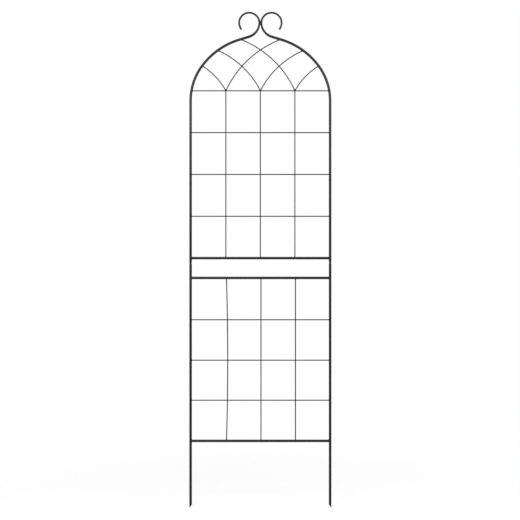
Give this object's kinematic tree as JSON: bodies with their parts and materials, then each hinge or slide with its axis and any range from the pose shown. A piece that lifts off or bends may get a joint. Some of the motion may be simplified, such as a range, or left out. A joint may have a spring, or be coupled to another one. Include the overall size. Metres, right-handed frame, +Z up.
{
  "type": "metal trellis",
  "caption": "Tall flat steel trellis with a wire grid, stakes for the soil, and an arched, scroll-topped upper panel that lifts off the lower panel.",
  "frame": {"origin": "midway between the stiles, on the underside of the lower foot rail, which is the soil line", "axes": "+Z up along the stiles, +X to the right along the rails as seen from the front, -Y out of the front"},
  "size_m": [0.5096, 0.0094, 1.7769],
  "materials": {
    "tube_coat": "satin",
    "wire_coat": "satin"
  },
  "bodies": {
    "lower_panel": {"lower_left_stile": "tube_coat", "lower_right_stile": "tube_coat", "lower_foot_rail": "tube_coat", "lower_head_rail": "tube_coat", "lower_cross_wire_1": "wire_coat", "lower_cross_wire_2": "wire_coat", "lower_cross_wire_3": "wire_coat", "lower_upright_wire_left": "wire_coat", "lower_upright_wire_middle": "wire_coat", "lower_upright_wire_right": "wire_coat"},
    "upper_panel": {"upper_left_stile": "tube_coat", "upper_right_stile": "tube_coat", "upper_foot_rail": "tube_coat", "arch_base_wire": "wire_coat", "upper_cross_wire_1": "wire_coat", "upper_cross_wire_2": "wire_coat", "upper_cross_wire_3": "wire_coat", "upper_upright_wire_left": "wire_coat", "upper_upright_wire_middle": "wire_coat", "upper_upright_wire_right": "wire_coat", "arch_wire_left_short": "wire_coat", "arch_wire_left_middle": "wire_coat", "arch_wire_left_long": "wire_coat", "arch_wire_right_short": "wire_coat", "arch_wire_right_middle": "wire_coat", "arch_wire_right_long": "wire_coat"}
  },
  "joints": [
    {"name": "upper_panel_lift", "type": "slide", "parent": "lower_panel", "child": "upper_panel", "axis": [0, 0, 1], "range_m": [0, 0.06]}
  ]
}
